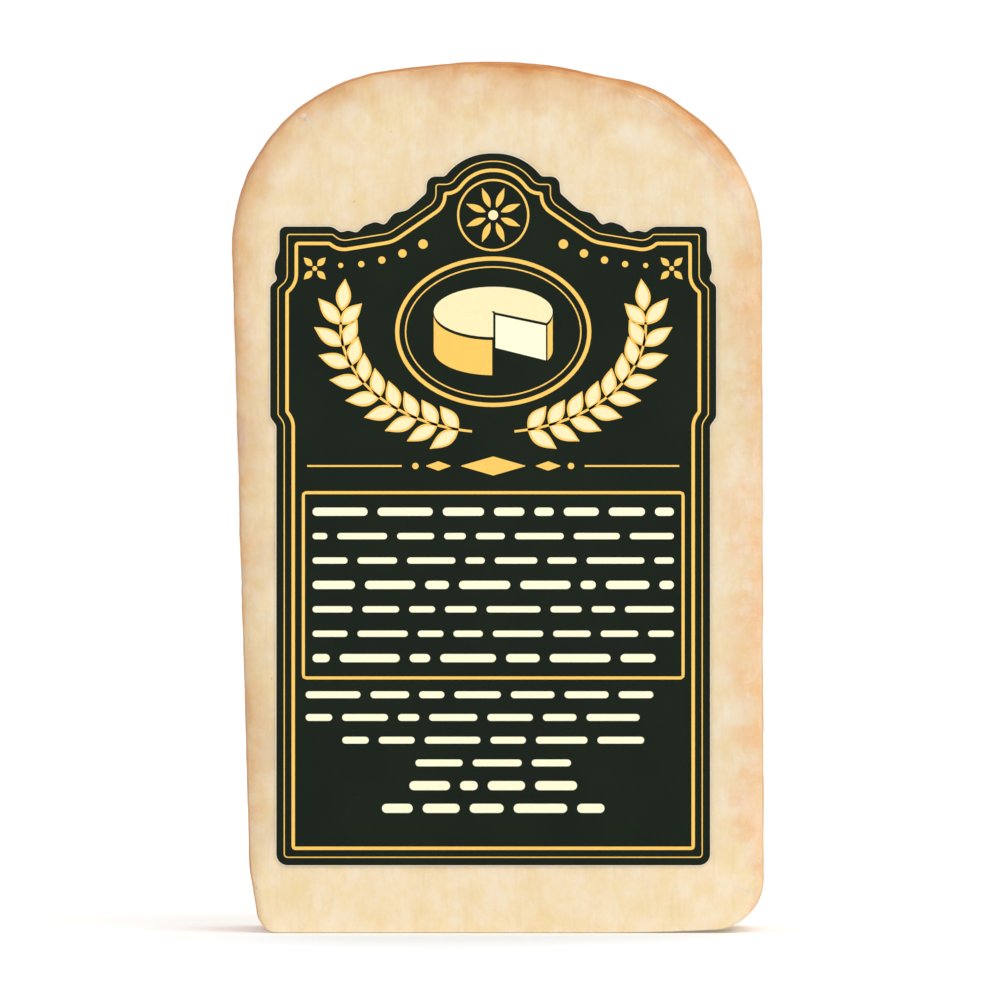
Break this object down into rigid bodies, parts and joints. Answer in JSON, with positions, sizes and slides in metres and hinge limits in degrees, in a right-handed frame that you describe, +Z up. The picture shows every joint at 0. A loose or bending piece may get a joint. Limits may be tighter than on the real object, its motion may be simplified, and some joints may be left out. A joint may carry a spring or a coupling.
{
  "type": "raclette cheese portion",
  "caption": "Cut portion of semi-hard cheese, a slab with a domed rind top and flat cut faces, standing upright with a die-cut label on its front.",
  "frame": {"origin": "middle of the bottom of the bounding box, on the surface that the cut base stands on", "axes": "+Z up from the cut base to the domed rim, -Y towards the viewer who faces the label, +X across the wheel's thickness"},
  "size_m": [0.07, 0.0325, 0.114],
  "materials": {
    "cheese": "satin, ivory paste with an orange-brown rind",
    "label": "smooth dark print with gold and cream ornament"
  },
  "bodies": {
    "root": {"cheese": "cheese", "label": "label"}
  },
  "joints": []
}
